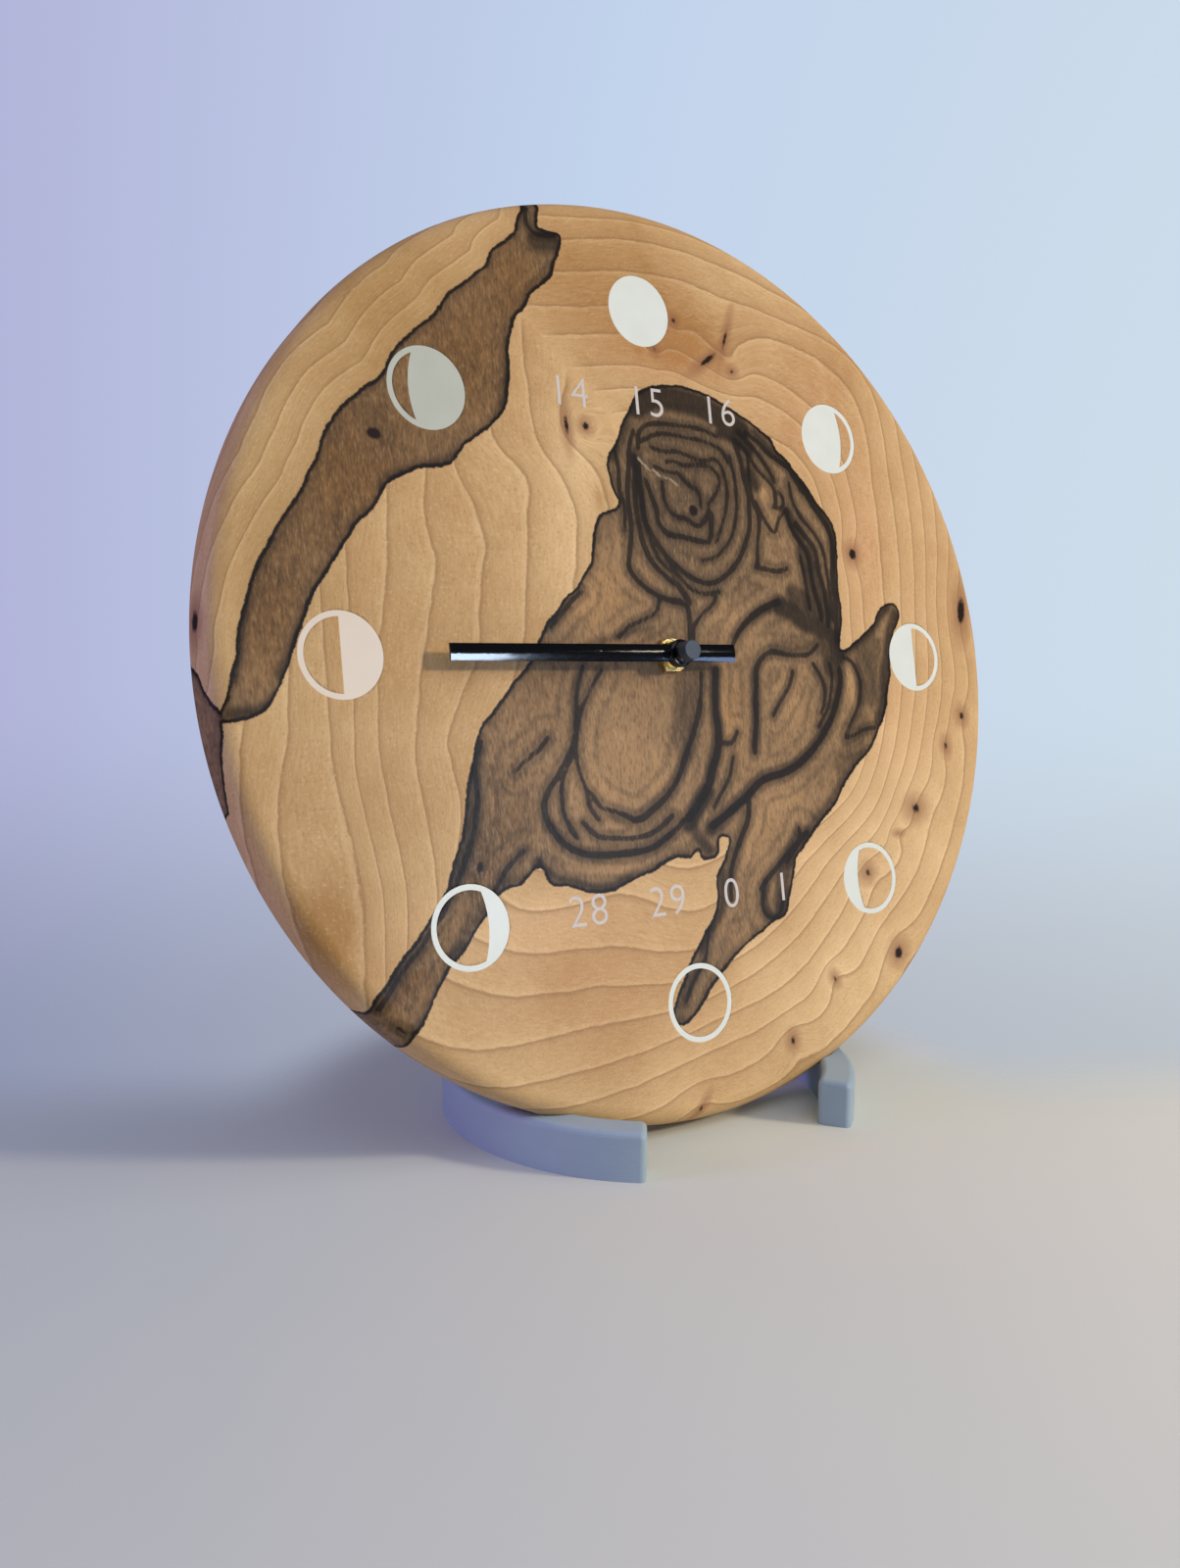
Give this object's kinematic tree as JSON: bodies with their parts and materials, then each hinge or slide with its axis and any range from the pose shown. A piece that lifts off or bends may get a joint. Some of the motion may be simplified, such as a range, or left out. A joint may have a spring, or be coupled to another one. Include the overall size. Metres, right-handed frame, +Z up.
{
  "type": "moon phase desk clock",
  "caption": "Round wooden dial with inlaid moon phases and a single turning hand, leaning in an open ring stand, with a battery movement in its back.",
  "frame": {"origin": "on the surface that the stand rests on, under the middle of the whole clock's box", "axes": "+Z up, the dial faces -Y and leans back by 10 degrees, +X to the viewer's right"},
  "size_m": [0.3, 0.1266, 0.2986],
  "materials": {
    "walnut": "oiled, light sapwood with dark heartwood figure",
    "moon_resin": "poured resin sanded flush",
    "stand_plastic": "printed plastic, fine layer lines",
    "hand_black": "gloss black",
    "cap_plastic": "satin moulded",
    "brass": "turned",
    "washer_rubber": "matt",
    "case_plastic": "moulded, fine texture",
    "gear_plastic": "moulded acetal",
    "arbor_steel": "turned",
    "motor_steel": "stamped",
    "magnet": "sintered",
    "bobbin_plastic": "moulded",
    "coil_copper": "enamelled copper wire",
    "board": "laminate board",
    "chip_resin": "resin blob",
    "nickel": "nickel plated",
    "battery_sleeve": null,
    "knob_plastic": "moulded, fluted"
  },
  "bodies": {
    "clock_body": {"wood_dial": "walnut", "moon_full": "moon_resin", "moon_waning_gibbous": "moon_resin", "moon_last_quarter": "moon_resin", "moon_waning_crescent": "moon_resin", "moon_new": "moon_resin", "moon_waxing_crescent": "moon_resin", "moon_first_quarter": "moon_resin", "moon_waxing_gibbous": "moon_resin", "stand": "stand_plastic", "hex_nut": "brass", "threaded_bush": "brass", "rubber_washer": "washer_rubber", "movement_case_front": "case_plastic", "movement_case_back": "case_plastic", "gear_bridge": "bobbin_plastic", "stator": "motor_steel", "coil_core": "motor_steel", "coil_bobbin": "bobbin_plastic", "coil_winding": "coil_copper", "circuit_board": "board", "chip_cover": "chip_resin", "quartz_crystal": "nickel", "battery": "battery_sleeve", "battery_contact_flat": "nickel", "battery_contact_spring": "nickel"},
    "hand_assembly": {"hand": "hand_black", "hand_collar": "hand_black", "shaft_cap": "cap_plastic", "output_shaft": "brass", "centre_wheel": "gear_plastic"},
    "first_gear": {"first_arbor": "arbor_steel", "first_wheel": "gear_plastic"},
    "second_gear": {"second_arbor": "arbor_steel", "second_wheel": "gear_plastic"},
    "rotor": {"rotor_arbor": "arbor_steel", "rotor_magnet": "magnet"},
    "setting_knob": {"knob_arbor": "arbor_steel", "set_knob": "knob_plastic"}
  },
  "joints": [
    {"name": "hand_turn", "type": "hinge", "parent": "clock_body", "child": "hand_assembly", "pos_m": [0, -0.00742, 0.15017], "axis": [0, 0.9848, -0.1736], "continuous": true},
    {"name": "first_gear_turn", "type": "hinge", "parent": "clock_body", "child": "first_gear", "pos_m": [-0.00625, -0.00554, 0.16083], "axis": [0, 0.9848, -0.1736], "continuous": true},
    {"name": "second_gear_turn", "type": "hinge", "parent": "clock_body", "child": "second_gear", "pos_m": [-0.018, -0.0048, 0.16504], "axis": [0, 0.9848, -0.1736], "continuous": true},
    {"name": "rotor_turn", "type": "hinge", "parent": "clock_body", "child": "rotor", "pos_m": [-0.02058, -0.00648, 0.15553], "axis": [0, 0.9848, -0.1736], "continuous": true},
    {"name": "knob_turn", "type": "hinge", "parent": "clock_body", "child": "setting_knob", "pos_m": [0.00625, -0.00554, 0.16083], "axis": [0, 0.9848, -0.1736], "continuous": true}
  ],
  "couplings": [
    {"joint": "first_gear_turn", "follows": "hand_turn", "ratio": -4},
    {"joint": "second_gear_turn", "follows": "hand_turn", "ratio": 16},
    {"joint": "rotor_turn", "follows": "hand_turn", "ratio": -48},
    {"joint": "knob_turn", "follows": "hand_turn", "ratio": -4}
  ]
}
